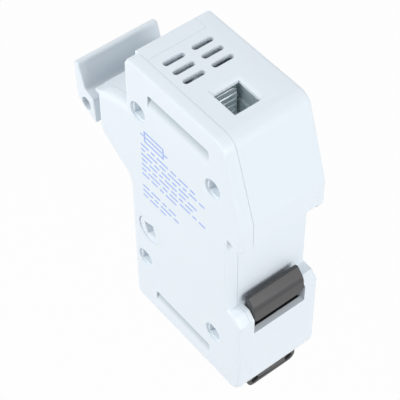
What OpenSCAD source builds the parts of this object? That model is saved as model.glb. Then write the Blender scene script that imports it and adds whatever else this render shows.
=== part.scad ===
// Modular cartridge fuse holder for a 35 mm mounting rail, with a swing-out fuse drawer.
// Millimetres. X runs along the rail, -Y is the front, +Y the rail side, +Z up.
// The origin is the middle of the rail seat.

/* [Body] */
// Width across the two side faces
body_w = 36; // [34:0.5:40]
// Thickness of the side cover, from its face to the seam
cover_t = 5; // [4.5:0.25:6]
// Thickness of the two side walls
side_wall = 2.8; // [2.2:0.1:3.2]
// Thickness of the other outer walls
wall = 2; // [1.6:0.1:2.2]
// Thickness of the inner partitions
rib_t = 1.8; // [1.4:0.1:2.2]
// Rail seat to the front face of the terminal blocks
block_front = 53.5; // [52:0.5:56]
// Rail centre line to the top face
body_up = 60.2; // [58:0.1:64]
// Rail centre line to the bottom face
body_down = 65.5; // [63:0.1:70]
// Rounding of the edges round the side faces
edge_r = 1.3; // [0.8:0.1:1.6]
// Rounding where the top meets the slanted back
top_back_r = 6; // [4:0.5:7]
// Rounding where the top meets the front, on the body
body_front_r = 1; // [0.5:0.1:3.5]
// The same rounding on the cover
top_front_r = 3.5; // [2:0.5:4.5]
// Rounding where the bottom meets the front
bottom_front_r = 3; // [2:0.5:4]
// Rounding where the bottom meets the back
bottom_back_r = 5.5; // [4:0.5:6]
// Height at which the back starts to slant forward
slant_z = 28; // [26:0.5:30]
// Slant of the upper back from the vertical, in degrees
slant_angle = 17.7; // [14:0.1:20]
// Size of the fine groove along the seam between body and cover
seam_groove = 0.2; // [0.15:0.05:0.4]

/* [Rail seat] */
// Height of the mounting rail, brim to brim
rail_h = 35; // [34.5:0.1:35.5]
// Rail seat to the back face
back_depth = 7.5; // [7:0.1:8]
// How far the upper hook reaches down over the rail's brim
hook_reach = 2; // [1.5:0.1:2.5]
// Width of the hook at the body's end of the rail seat
hook_ear_w = 3.2; // [3:0.1:4.5]
// Room for the brim behind the hook
brim_gap = 2.5; // [2:0.1:2.8]
// Rail's lower edge to the top of the lower block
shoulder_gap = 4.4; // [4:0.1:6]
// Flat part of the lower block's top
shoulder_flat = 4.6; // [4:0.1:5]
// Drop of the chamfer behind that flat
shoulder_drop = 3.3; // [2.5:0.1:4]

/* [Nose and pivot] */
// Rail seat to the drawer's pivot
pivot_fwd = 43.8; // [43:0.1:44.5]
// Pivot below the rail centre line
pivot_down = 19.5; // [19:0.1:20]
// Radius of the nose's roof about the pivot
roof_r = 57; // [56.5:0.1:58]
// Rounding of the roof's side edges
roof_edge_r = 2.8; // [2:0.1:2.8]
// Rail seat to the front of the nose
nose_front = 70.4; // [69:0.2:71]
// Height of the nose's lower front corner
nose_low_z = 11.7; // [10:0.1:13]
// Rounding of that corner
nose_r = 4; // [3:0.5:5]
// Height at which the nose's underside meets the block
nose_root_z = 1; // [-1:0.2:3]
// Rounding under the nose
nose_root_r = 8; // [6:0.5:9]
// How far the visor stands forward of the nose
visor_len = 3; // [2:0.1:3.5]
// Thickness of the visor's front edge
visor_t = 1.1; // [0.8:0.1:1.5]
// How much lower the cover's visor lies than the body's
visor_step = 0.3; // [0.3:0.1:0.9]
// Radius of the pivot pin's disc
pin_r = 6; // [5.5:0.1:6.3]
// Radius of the pin's inner boss
pin_boss_r = 5; // [4.6:0.1:5.2]
// How far the disc lies below the side face
pin_recess = 0.5; // [0.3:0.1:0.9]
// Side of the pin's square socket
pin_socket = 5.4; // [4.5:0.1:5.8]
// Turn of that square at rest, in degrees
pin_socket_turn = 20; // [0:1:45]
// Depth of that socket
pin_socket_deep = 3.6; // [2.5:0.1:4]

/* [Drawer] */
// Diameter of the cartridge fuse
fuse_d = 20.6; // [20:0.1:21]
// Length of the cartridge fuse
fuse_len = 57.2; // [56:0.2:58]
// Rail seat to the fuse's axis
fuse_fwd = 36.8; // [36.4:0.1:37.2]
// Middle of the fuse above the rail centre line
fuse_mid_z = 3; // [2:0.1:3.5]
// Room round the fuse in its cradle
fuse_room = 0.25; // [0.15:0.05:0.4]
// Thickness of the drawer's front panel
panel_t = 2; // [1.6:0.1:2.2]
// How far the panel lies behind the nose's front edge
panel_recess = 1; // [0.6:0.1:1.4]
// Half the distance between the two cradle ribs
cradle_half = 9; // [7:0.5:10]
// Thickness of a cradle rib
cradle_t = 2.4; // [2:0.1:3]
// How far the cradle's arms reach behind the fuse's axis
cradle_reach = 2.5; // [1:0.25:4]
// Largest swing of the drawer, in degrees
swing_max = 75; // [60:1:75]

/* [Handle] */
// Width of the handle
handle_w = 35; // [33:0.5:36]
// Rail seat to the tip of the lip
lip_tip_fwd = 85.3; // [84:0.1:87]
// Height of that tip
lip_tip_z = 33.5; // [32:0.1:36]
// Thickness of the lip at its tip
lip_t = 3.2; // [2.6:0.1:3.6]
// Rail seat to the inner root of the lip
lip_root_fwd = 79.2; // [78:0.1:80]
// Height of that root
lip_root_z = 24; // [23:0.1:26]
// Rail seat to the outer bend below the lip
bend_fwd = 84.5; // [84:0.1:86]
// Height of that bend
bend_z = 16.8; // [16:0.1:18]
// Gap between the ears' back and the nose
ear_gap = 4; // [3:0.1:4.2]
// Height of the ears' back, top
ear_top_z = 22.4; // [21.6:0.1:23]
// Height of the ears' back, bottom
ear_low_z = 10.6; // [9.8:0.1:12]
// How much nearer to the nose the ears' lower back corner lies
ear_lean = 1; // [0.5:0.1:1.5]
// Rounding of the handle's edges
handle_edge_r = 0.9; // [0.5:0.1:1]
// Radius of the seal hole through the ears
seal_r = 2.6; // [1.5:0.1:2.8]
// Rail seat to the seal hole
seal_fwd = 78.8; // [78:0.1:80]
// Height of the seal hole
seal_z = 17.7; // [17.4:0.1:18.8]

/* [Terminals] */
// Offset of the terminals from the middle of the width
term_x = 0.9; // [0:0.1:1.5]
// Terminal screw below the top face, and above the bottom face
term_in = 9; // [8:0.1:9.5]
// Rail seat to the middle of the wire hole
wire_fwd = 16.4; // [16:0.1:16.8]
// Width of the wire hole
wire_w = 11.3; // [10.5:0.1:11.6]
// Depth of the wire hole, front to back
wire_d = 11.8; // [11:0.1:12]
// Lead-in bevel of the wire hole
wire_bevel = 2.2; // [1.5:0.1:2.6]
// Depth of that bevel
wire_bevel_deep = 0.9; // [0.6:0.1:1.4]
// Inner width of the cage
cage_in_w = 12.4; // [12:0.1:13]
// Height of the cage
cage_h = 12.4; // [11.5:0.1:12.8]
// Sheet of the cage
cage_t = 1.6; // [1.2:0.1:1.8]
// Outer rounding of the cage's folds
cage_fold_r = 2; // [1.7:0.1:2.4]
// Step in the cage's side walls, below its middle
cage_step = 0.5; // [0.3:0.05:0.6]
// Threaded front wall of the cage
cage_front_t = 2.5; // [2:0.1:3]
// Travel of the cage between open and clamped
cage_travel = 9.5; // [8:0.1:10]
// Room between the drawn-up cage and the shelf that bears the screw's head
shelf_room = 2.4; // [0.6:0.1:2.6]
// Radius of the terminal screw's shank
screw_r = 3; // [2.5:0.1:3]
// Radius of the screw's head
screw_head_r = 4.6; // [4.2:0.1:5]
// Height of the screw's head
screw_head_h = 4; // [3.4:0.1:4.2]
// Width of the screw's cross slots
screw_slot_w = 1.2; // [0.8:0.1:1.5]
// Length of the screw's cross slots
screw_slot_len = 6.9; // [6:0.1:7.5]
// Depth of the screw's cross slots
screw_slot_deep = 2; // [1.2:0.1:2.4]
// Radius of the screwdriver hole
driver_r = 4.2; // [3.8:0.1:4.4]
// Depth of the terminal covers let into the front
front_plate_d = 6.5; // [6:0.1:6.8]
// Edge of the terminal covers from the middle, on the body's side
front_plate_edge = 11.5; // [10.5:0.1:12]
// Length of a vent slot
vent_len = 8.8; // [8:0.1:9.4]
// Width of a vent slot
vent_w = 2.5; // [2:0.1:3]
// Pitch of the vent slots
vent_pitch = 5.18; // [4.8:0.02:5.4]
// Vent rows from the middle of the width
vent_x = 5.9; // [5.6:0.1:6.4]
// Rail seat to the middle row of vents
vent_fwd = 36.87; // [36.5:0.01:37.2]

/* [Contacts] */
// Rail seat to the back face of the terminal bars
bar_fwd = 22; // [21.8:0.1:22.4]
// Thickness of the terminal bars
bar_t = 2; // [1.6:0.1:2.2]
// Width of the terminal bars
bar_w = 9.8; // [9:0.1:10.5]
// Rounding of the bars' tips
bar_tip_r = 2; // [1:0.1:2.5]
// Pitch of the ribs across a bar's wire face
bar_rib_pitch = 2.55; // [2.2:0.05:2.8]
// Depth of the grooves between those ribs
bar_rib_deep = 0.4; // [0.2:0.05:0.5]
// Sheet of the fuse jaws
jaw_t = 1.2; // [1:0.1:1.3]
// Height of the fuse jaws
jaw_h = 12; // [10:0.5:12.5]
// Jaws' outer edges from the fuse's ends
jaw_inset = 2; // [1:0.25:3]
// How far the jaws reach in front of the fuse's axis
jaw_reach = 8.6; // [6:0.2:9]
// Outward flare of the jaws' tips
jaw_flare = 0.5; // [0.3:0.1:0.6]
// Length of that flare
jaw_flare_len = 3; // [2:0.25:4]
// Sheet of the jaw springs
spring_t = 0.7; // [0.5:0.05:0.8]
// Height of the jaw springs
spring_h = 6; // [5:0.5:8]
// Radius of the contact rivets
rivet_r = 1.5; // [1.2:0.1:1.7]
// Radius of the rivets' heads
rivet_head_r = 2.4; // [2:0.1:2.6]
// Height of the rivets' heads
rivet_head_h = 0.9; // [0.7:0.05:1]
// Spacing of the two rivets in a jaw
rivet_pitch = 5.2; // [5:0.1:5.4]

/* [Rail clip] */
// Width of the clip
clip_w = 22.7; // [21.5:0.1:23]
// Offset of the clip from the middle of the width
clip_x = -0.35; // [-0.5:0.05:0]
// How far the clip's nose reaches up over the rail's brim
clip_reach = 0.8; // [0.6:0.1:2]
// Rail seat to the front of the clip's nose
clip_nose_y = 1.8; // [1.5:0.1:2]
// Height of the clip's head
clip_head_h = 10.8; // [10:0.1:11.4]
// Rail seat to the front of the clip's plate
clip_plate_y = 2.6; // [2.4:0.1:2.8]
// Thickness of the clip's plate
clip_plate_t = 2.3; // [2.2:0.1:2.6]
// Thickness of that plate just below the head
neck_t = 1.2; // [1:0.1:1.6]
// Travel of the clip when it is pulled down
clip_travel = 4.5; // [4:0.1:4.7]
// Room below the clip's head when it is pulled down
pocket_room = 0.9; // [0.3:0.1:1.6]
// How far the pull tab stands out below the body
tab_len = 5.8; // [5.5:0.1:8]
// Rounding of the pull tab's corners
tab_r = 3; // [1.5:0.1:3.5]
// Radius of the two holes in the pull tab
tab_hole_r = 1.6; // [1.2:0.1:1.8]
// Spacing of those holes
tab_hole_pitch = 16.2; // [15:0.1:17]
// Length of the clip's spring at rest
coil_len = 16; // [14:0.5:18]
// Outer radius of that spring
coil_r = 1.3; // [1.1:0.05:1.35]
// Radius of its wire
coil_wire_r = 0.25; // [0.2:0.05:0.3]
// Turns of that spring
coil_turns = 9; // [6:1:12]

/* [Side sockets] */
// Radius of the round recess of a link socket
socket_r = 4; // [3.6:0.1:4.2]
// Depth of that recess
socket_recess = 0.8; // [0.5:0.1:1]
// Side of the square hole in it
socket_square = 5.5; // [4.5:0.1:5.6]
// Depth of the square hole from the side face
socket_deep = 4.1; // [3:0.1:4.2]
// Rail seat to the back sockets
socket_fwd = 7.3; // [6.8:0.1:8]
// Front sockets from the block's front face
socket_inset = 6.7; // [6:0.1:7.5]
// Upper front socket below the top face
socket_top_front = 20.4; // [19:0.1:21]
// Upper back socket below the top face
socket_top_back = 24; // [22.5:0.1:24.5]
// Lower front socket above the bottom face
socket_low_front = 27.2; // [25.5:0.1:27.5]
// Lower back socket above the bottom face
socket_low_back = 23; // [21.5:0.1:23.5]
// Plastic left round a socket on the inside
socket_boss = 1.4; // [1:0.1:1.6]
// Greatest depth of the long side grooves
groove_deep = 1.5; // [1.5:0.1:1.8]
// Depth of a groove right under its upper edge
groove_edge = 1.3; // [0.8:0.1:1.5]
// Deepest line of a groove below its upper edge
groove_dip = 1; // [0.6:0.1:1.5]
// Rounding of a groove's ends
groove_end_r = 1.2; // [0.6:0.1:2]
// Height of the upper groove
groove_h = 5.5; // [5:0.1:6.5]
// Length of the grooves
groove_len = 31.7; // [28:0.1:33]
// Rail seat to the back end of the grooves
groove_fwd = 9.3; // [8.5:0.1:10]
// Top edge of the upper groove below the top face
groove_top_in = 7.9; // [6.5:0.1:8]
// Top edge of the lower groove above the bottom face
groove_low_in = 12.8; // [11.5:0.1:13]

/* [Fits] */
// Radial clearance of a running fit
run_fit = 0.06; // [0.02:0.01:0.1]
// Gap beside a sliding or swinging piece
slide_gap = 0.3; // [0.25:0.01:0.4]
// Gap round a fixed piece let into the body
seat_gap = 0.06; // [0.05:0.01:0.12]
// Gap between the jaw springs and the drawer's cheeks
cheek_gap = 0.7; // [0.4:0.05:0.8]

/* [Hidden] */
$fn = 48;
tiny = 0.05;
past = 1;
far = 200;
rod_past = 20;

half_w = body_w / 2;
seam_x = half_w - cover_t;
inner_x = half_w - side_wall;
pivot = [-pivot_fwd, -pivot_down];
rail_top = rail_h / 2;
hook_z = rail_top - hook_reach;
shoulder_z = -rail_h / 2 - shoulder_gap;
seat_corner_r = 0.8;
shoulder_corner_r = 0.5;
hook_r = 1.8;
slant_r = 8;
slant_top_y = back_depth - (body_up - slant_z) * tan(slant_angle);

// The roof is an arc about the pivot, between the block's front and the nose's front.
roof_a0 = asin((block_front - pivot_fwd) / roof_r);
roof_a1 = asin((nose_front - pivot_fwd) / roof_r);
roof_far = roof_r / cos((roof_a1 - roof_a0) / 2);
roof_blend = 12;
least_corner_r = 0.3;
roof_root_r = 0.3;
roof_tip_r = 1;
function about_pivot(r, a) = pivot + r * [-sin(a), cos(a)];
roof_root = about_pivot(roof_r, roof_a0);
roof_tip = about_pivot(roof_r, roof_a1);
roof_knee = about_pivot(roof_far, (roof_a0 + roof_a1) / 2);

// Side outline, counterclockwise seen from +X.
// Each row holds y, z, corner radius, corner steps and the edge rounding of the side that follows.
function outline_rows(front_r) = [
    [-block_front, -body_down, bottom_front_r, 4, edge_r],
    [back_depth, -body_down, bottom_back_r, 6, edge_r],
    [back_depth, shoulder_z - shoulder_drop, shoulder_corner_r, 3, edge_r],
    [shoulder_flat, shoulder_z, shoulder_corner_r, 3, edge_r],
    [0, shoulder_z, seat_corner_r, 2, edge_r],
    [0, hook_z, seat_corner_r, 2, edge_r],
    [back_depth, hook_z, hook_r, 4, edge_r],
    [back_depth, slant_z, slant_r, 3, edge_r],
    [slant_top_y, body_up, top_back_r, 6, edge_r],
    [-block_front, body_up, front_r, 5, edge_r],
    [roof_root[0], roof_root[1], roof_root_r, 2, roof_edge_r],
    [roof_knee[0], roof_knee[1], roof_r - roof_blend, 8, roof_edge_r],
    [roof_tip[0], roof_tip[1], roof_tip_r, 3, edge_r],
    [-nose_front, nose_low_z, nose_r, 5, edge_r],
    [-block_front, nose_root_z, nose_root_r, 5, edge_r],
];
outline = outline_rows(body_front_r);
cover_outline = outline_rows(top_front_r);

// Drawer and handle
drawer_half = inner_x - slide_gap;
lintel = 1.2;
lintel_r = roof_r - wall - lintel;
lintel_z = pivot[1] + sqrt(pow(lintel_r, 2) - pow(nose_front - wall - pivot_fwd, 2));
swing_r = lintel_r - 2 * slide_gap;
fuse_r = fuse_d / 2;
fuse_y = -fuse_fwd;
cradle_in = fuse_r + fuse_room;
cradle_front = fuse_y - cradle_in;
cradle_back = fuse_y + cradle_reach;
skirt_out = block_front - panel_recess - pivot_fwd;
skirt_in = skirt_out - panel_t;
skirt_angle = 52;
sill_gap = 0.4;
sill_y = -block_front + wall;
sill_z = pivot[1] - (skirt_out + sill_gap - (pivot[0] - sill_y) * cos(swing_max)) / sin(swing_max);
ear_y = -nose_front - ear_gap;
lip_angle = atan2(lip_tip_fwd - lip_root_fwd - lip_t, lip_tip_z - lip_root_z);
ear_r = 1;
lip_tip_r = 1;
lip_root_r = 2;
bend_r = 2;
lip_back = [-lip_tip_fwd + lip_t * cos(lip_angle), lip_tip_z + lip_t * sin(lip_angle)];
handle_steps = 4;
bend_steps = 5;
handle_outline = [
    [ear_y + ear_lean, ear_low_z, ear_r, handle_steps, handle_edge_r],
    [ear_y, ear_top_z, ear_r, handle_steps, handle_edge_r],
    [-lip_root_fwd, lip_root_z, lip_root_r, handle_steps, handle_edge_r],
    [lip_back[0], lip_back[1], lip_tip_r, handle_steps, handle_edge_r],
    [-lip_tip_fwd, lip_tip_z, lip_tip_r, handle_steps, handle_edge_r],
    [-bend_fwd, bend_z, bend_r, bend_steps, handle_edge_r],
];

// Terminals, given for the upper end and mirrored for the lower one
term_z = body_up - term_in;
mirror_z = (body_up - body_down) / 2;
cage_z0 = term_z - cage_h / 2;
cage_z1 = term_z + cage_h / 2;
cage_half = cage_in_w / 2 + cage_t;
bar_back = -bar_fwd;
bar_front = bar_back - bar_t;
cage_in_front = bar_front - slide_gap;
cage_front = cage_in_front - cage_front_t;
wire_front = -wire_fwd - wire_d / 2;
wire_back = -wire_fwd + wire_d / 2;
cage_in_back = wire_back + slide_gap;
cage_back = cage_in_back + cage_t;
floor_z1 = cage_z0 - slide_gap;
floor_z0 = floor_z1 - rib_t;
bar_tip_z = cage_z1;
shelf_back = cage_front - cage_travel - shelf_room;
shelf_front = shelf_back - rib_t;
head_front = shelf_front - screw_head_h;
screw_tip = bar_front - slide_gap;
keeper_back = head_front - slide_gap / 2;
plate_back = -block_front + front_plate_d;
vent_rows = [-1, 0, 1];

// Contacts
jaw_back = bar_front;
jaw_front = jaw_back - jaw_t;
jaw_in = fuse_r;
jaw_out = jaw_in + jaw_t;
cheek_in = jaw_out + spring_t + cheek_gap;
jaw_tip = fuse_y - jaw_reach;
upper_jaw_z = fuse_mid_z + fuse_len / 2 - jaw_inset - jaw_h / 2;
lower_jaw_z = fuse_mid_z - fuse_len / 2 + jaw_inset + jaw_h / 2;
bar_end_over = 0.5;
upper_bar_low = upper_jaw_z - jaw_h / 2 - bar_end_over;
lower_bar_high = lower_jaw_z + jaw_h / 2 + bar_end_over;

// Rail clip
clip_half = clip_w / 2;
clip_top = -rail_h / 2 + clip_reach;
clip_low = clip_top - clip_head_h;
clip_plate_back = clip_plate_y + clip_plate_t;
clip_back = back_depth - slide_gap;
pocket_half = clip_half + slide_gap;
pocket_low = clip_low - clip_travel - pocket_room;
pocket_front = clip_nose_y - slide_gap;
channel_front = clip_plate_y - slide_gap;
channel_back = clip_plate_back + slide_gap;
clip_wall = channel_front - wall;
window_half = coil_r + slide_gap;
window_top = pocket_low - wall;
neck_low = window_top + wall / 4;
peg_top = window_top - coil_len;
peg_h = 2;
window_low = peg_top - peg_h - slide_gap;
nose_tip_len = 1.5;
ramp_knee_back = 0.2;
ramp_knee_down = 3.7;
ramp_foot = 0.8;
ramp_r = 5;
head_corner_r = 2;
nose_tip_r = 0.8;
nose_front_r = 0.6;
heel_r = 0.4;
clip_outline = [
    [clip_plate_y, clip_low, 0, 1, 0],
    [clip_back, clip_low, heel_r, 3, 0],
    [clip_back - ramp_knee_back, clip_top - ramp_knee_down, ramp_r, 6, 0],
    [clip_nose_y + nose_tip_len, clip_top, nose_tip_r, 4, 0],
    [clip_nose_y, clip_top - ramp_foot, nose_front_r, 4, 0],
    [clip_nose_y, shoulder_z - ramp_foot, heel_r, 3, 0],
    [clip_plate_y, shoulder_z - 2 * ramp_foot, heel_r, 3, 0],
];
tab_low = -body_down - tab_len;
function clip_face(top, low, low_r) = [
    [-clip_half, top, 0, 1, 0],
    [-clip_half, low, low_r, 6, 0],
    [clip_half, low, low_r, 6, 0],
    [clip_half, top, 0, 1, 0],
];

coil_steps = 8;
coil_sides = 6;
coil_mid_r = coil_r - coil_wire_r;
coil_rise = coil_len - 2 * coil_wire_r;

// Side sockets, as y and z of their centres
link_sockets = [
    [-block_front + socket_inset, body_up - socket_top_front],
    [-socket_fwd, body_up - socket_top_back],
    [-block_front + socket_inset, -body_down + socket_low_front],
    [-socket_fwd, -body_down + socket_low_back],
];
groove_back = -groove_fwd;
groove_front = groove_back - groove_len;
groove_tops = [body_up - groove_top_in, -body_down + groove_low_in];
groove_pad = 1.5;
groove_steps = 6;

// Outline arithmetic: insets every side by its own distance and rounds the corners.
function unit(a) = a / norm(a);
function left_of(u) = [-u[1], u[0]];
function turned(p, a) = [p[0] * cos(a) - p[1] * sin(a), p[0] * sin(a) + p[1] * cos(a)];
function corner(p, q, w, d0, d1) =
    let (
        u0 = unit([q[0] - p[0], q[1] - p[1]]),
        u1 = unit([w[0] - q[0], w[1] - q[1]]),
        n0 = left_of(u0),
        n1 = left_of(u1),
        k = u0[0] * u1[1] - u0[1] * u1[0],
        x = [q[0], q[1]] + [d0 * n1[1] - d1 * n0[1], n0[0] * d1 - n1[0] * d0] / k,
        bend = acos(u0 * u1),
        side = sign(k),
        r = max(side > 0 ? q[2] - max(d0, d1) : q[2] + min(d0, d1), least_corner_r),
        start = x - u0 * r * tan(bend / 2),
        centre = start + n0 * r * side
    )
    [for (j = [0 : q[3]]) centre + turned(start - centre, side * bend * j / q[3])];
function rounded(v, d) =
    let (n = len(v))
    [
        for (i = [0 : n - 1])
            let (before = (i + n - 1) % n, after = (i + 1) % n)
            each corner(v[before], v[i], v[after], d[before], d[i])
    ];
function inset(v, d) = rounded(v, [for (p = v) d]);
function edge_inset(f, s) = s >= f ? 0 : f - sqrt(f * f - pow(f - s, 2));
function edge_ring(v, s) = rounded(v, [for (p = v) edge_inset(p[4], s)]);

// Distances from a side face at which the rounded edge gets a ring.
function edge_steps(f) = [for (a = [0, 45, 90]) f * (1 - cos(a))];

// Solid through rings of points at given x. The flat ends are given as lists of point numbers.
module loft(xs, rings, ends) {
    n = len(rings[0]);
    m = len(rings);
    points = [for (i = [0 : m - 1]) for (p = rings[i]) [xs[i], p[0], p[1]]];
    last = (m - 1) * n;
    far_ends = [for (e = ends) concat([last + e[0]], [for (j = [len(e) - 1 : -1 : 1]) last + e[j]])];
    caps = concat(ends, far_ends);
    sides = [
        for (i = [0 : m - 2])
            for (j = [0 : n - 1])
                let (a = i * n + j, b = i * n + (j + 1) % n)
                each [[a, a + n, b], [b, a + n, b + n]]
    ];
    polyhedron(points, concat(caps, sides), convexity = 10);
}

// The side face falls into lower block, middle, upper block and nose.
function first_of(i) = i == 0 ? 0 : first_of(i - 1) + outline[i - 1][3] + 1;
function last_of(i) = first_of(i) + outline[i][3];
function span(i, j) = [for (k = [first_of(i) : last_of(j)]) k];
side_face = [
    concat(span(0, 4), [last_of(14)]),
    [last_of(14), last_of(4), first_of(5), last_of(10)],
    concat([last_of(8)], span(9, 10), span(5, 7), [for (k = [first_of(8) : last_of(8) - 1]) k]),
    concat([last_of(10)], span(11, 14)),
];

// The handle's end face falls into ear and lip.
lip_first = 2 * (handle_steps + 1);
lip_last = 5 * (handle_steps + 1);
handle_face = [
    concat([for (k = [0 : lip_first]) k], [for (k = [lip_last : lip_last + bend_steps]) k]),
    concat([lip_last], [for (k = [lip_first : lip_last - 1]) k]),
];

module slab(x0, x1) {
    translate([x0, 0, 0]) rotate([90, 0, 90]) linear_extrude(x1 - x0) children();
}

module block(x0, x1, y0, y1, z0, z1) {
    translate([x0, y0, z0]) cube([x1 - x0, y1 - y0, z1 - z0]);
}

module rod_x(c, r, x0, x1) {
    translate([x0, c[0], c[1]]) rotate([0, 90, 0]) cylinder(r = r, h = x1 - x0);
}

module rod_y(x, z, r, y0, y1) {
    translate([x, y0, z]) rotate([-90, 0, 0]) cylinder(r = r, h = y1 - y0);
}

module at_lower_end() {
    translate([0, 0, 2 * mirror_z]) mirror([0, 0, 1]) children();
}

module both_ends() {
    children();
    at_lower_end() children();
}

module side_profile(d, rows = outline) {
    polygon(inset(rows, d));
}

// Outer form of one half, from its rounded side face to its open end.
module half_shell(x_face, x_end, rows) {
    to_face = sign(x_face);
    steps = concat(edge_steps(edge_r), [side_wall, abs(x_face - x_end)]);
    order = to_face < 0 ? [0 : len(steps) - 1] : [len(steps) - 1 : -1 : 0];
    loft(
        [for (i = order) x_face - to_face * steps[i]],
        [for (i = order) edge_ring(rows, steps[i])],
        side_face
    );
}

// Visor over the gap between nose and handle.
module visor(x0, x1, drop) {
    tip_y = -nose_front - visor_len;
    tip_z = roof_tip[1] - visor_len * tan(roof_a1) - drop;
    slab(x0, x1) polygon([
        about_pivot(roof_r - drop - 2 * tiny, roof_a1 - 2),
        [tip_y, tip_z],
        [tip_y, tip_z - visor_t],
        [-nose_front, roof_tip[1] - visor_len - drop],
        [-nose_front + wall / 2, roof_tip[1] - visor_len - drop],
    ]);
}

// Everything that is hollow between two planes across the width.
module chamber(x0, x1) {
    difference() {
        slab(x0, x1) side_profile(wall);
        block(x0 - past, x1 + past, -wall, far, hook_z - past, slant_z);
        block(x0 - past, x1 + past, clip_wall, far, -far, shoulder_z + wall);
    }
}

// The opening that the drawer swings out of.
module drawer_way(x0, x1) {
    slab(x0, x1) polygon([
        [sill_y + tiny, sill_z],
        [sill_y + tiny, nose_low_z],
        [-nose_front + wall + tiny, lintel_z],
        [-far, lintel_z],
        [-far, sill_z],
    ]);
}

module link_socket_cuts(x_face, inward) {
    for (c = link_sockets) {
        rod_x(c, socket_r, min(x_face, x_face + inward * socket_recess) - (inward > 0 ? past : 0),
            max(x_face, x_face + inward * socket_recess) + (inward > 0 ? 0 : past));
        translate([x_face + inward * socket_deep / 2, c[0], c[1]])
            cube([socket_deep, socket_square, socket_square], center = true);
    }
}

// Depth of a side groove, from its upper edge at 0 to its deepest line at 1.
function groove_depth(part) = groove_edge + (groove_deep - groove_edge) * (1 - pow(1 - part, 2));

// Long groove with a crisp upper edge and a hollow that runs out towards its lower one.
module side_groove_cuts(x_face, inward) {
    for (top = groove_tops) {
        low = top - groove_h;
        outside_x = x_face - inward * past;
        intersection() {
            translate([0, groove_front - past, 0]) rotate([90, 0, 0]) mirror([0, 0, 1])
                linear_extrude(groove_len + 2 * past) polygon(concat(
                    [[outside_x, top]],
                    [for (k = [0 : groove_steps]) [
                        x_face + inward * groove_depth(k / groove_steps),
                        top - groove_dip * k / groove_steps,
                    ]],
                    [[x_face, low], [outside_x, low]]
                ));
            slab(-far, far) polygon(inset([
                [groove_front, low, groove_end_r, 4, 0],
                [groove_back, low, groove_end_r, 4, 0],
                [groove_back, top, groove_end_r, 4, 0],
                [groove_front, top, groove_end_r, 4, 0],
            ], 0));
        }
    }
}

// Plastic behind the sockets and grooves of a side wall.
module side_backing(x_in, inward) {
    x_far = x_in + inward * (inner_x - seam_x);
    x_wall = x_in - inward * past;
    for (c = link_sockets)
        rod_x(c, socket_r + socket_boss, min(x_far, x_wall), max(x_far, x_wall));
    for (top = groove_tops)
        block(min(x_far, x_wall), max(x_far, x_wall), groove_front - groove_pad, groove_back + groove_pad,
            top - groove_h - groove_pad, top + groove_pad);
}

module vent_cuts() {
    for (row = vent_rows, side = [-1, 1]) {
        y = -vent_fwd + row * vent_pitch;
        x = side * vent_x;
        run = (vent_len - vent_w) / 2;
        block(x - run, x + run, y - vent_w / 2, y + vent_w / 2, body_up - wall - past, body_up + past);
        for (end = [-1, 1])
            translate([x + end * run, y, body_up - wall - past]) cylinder(d = vent_w, h = wall + 2 * past);
    }
}

// Lead-in bevels of a wire hole, on its front side and on the body's side.
module wire_bevel_front(x0, x1) {
    slab(x0, x1) polygon([
        [wire_front - wire_bevel, body_up + tiny],
        [wire_front + tiny, body_up + tiny],
        [wire_front + tiny, body_up - wire_bevel_deep],
    ]);
}

module wire_bevel_side(x_edge, y0, y1) {
    translate([0, y0, 0]) rotate([90, 0, 0]) mirror([0, 0, 1]) linear_extrude(y1 - y0) polygon([
        [x_edge - wire_bevel, body_up + tiny],
        [x_edge + tiny, body_up - wire_bevel_deep],
        [x_edge + tiny, body_up + tiny],
    ]);
}

module wire_cuts() {
    x0 = term_x - wire_w / 2;
    x1 = term_x + wire_w / 2;
    block(x0, x1, wire_front, wire_back, body_up - wall - past, body_up + past);
    wire_bevel_front(x0, x1);
    wire_bevel_side(x0, wire_front, wire_back);
    intersection() {
        wire_bevel_front(x0 - wire_bevel, x0 + tiny);
        wire_bevel_side(x0, wire_front - wire_bevel, wire_front + tiny);
    }
}

// Partitions round one terminal, with slots that open towards the cover.
module terminal_ribs() {
    x0 = -inner_x - past;
    difference() {
        union() {
            block(x0, seam_x, -block_front + past, bar_front, floor_z0, floor_z1);
            block(x0, seam_x, bar_back, -wall, floor_z0, floor_z1);
            block(x0, term_x - bar_w / 2, bar_front - past, bar_back + past, floor_z0, floor_z1);
            block(x0, seam_x, shelf_front, shelf_back, floor_z0, body_up - past);
            block(x0, seam_x, plate_back + seat_gap, keeper_back, floor_z0, body_up - past);
        }
        rod_y(term_x, term_z, screw_r + slide_gap, shelf_front - past, shelf_back + past);
        block(term_x, seam_x + past, shelf_front - past, shelf_back + past,
            term_z - screw_r - slide_gap, term_z + screw_r + slide_gap);
        rod_y(term_x, term_z, driver_r, plate_back - past, keeper_back + past);
    }
}

module bar_rest(z0, z1) {
    block(-inner_x - past, seam_x, bar_back, bar_back + rib_t, z0, z1);
}

module front_plate_space(gap) {
    block(-front_plate_edge - gap, seam_x + (gap > 0 ? past : 0), -block_front - past, plate_back + gap,
        floor_z1, body_up + past);
}

module clip_cuts() {
    x0 = clip_x - pocket_half;
    x1 = clip_x + pocket_half;
    block(x0, x1, pocket_front, far, pocket_low, shoulder_z + past);
    block(x0, x1, channel_front, channel_back, -body_down - past, pocket_low + past);
}

module side_cuts(x_face, inward) {
    link_socket_cuts(x_face, inward);
    side_groove_cuts(x_face, inward);
    rod_x(pivot, pin_r + run_fit, min(x_face, x_face + inward * side_wall) - past,
        max(x_face, x_face + inward * side_wall) + past);
}

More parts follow.
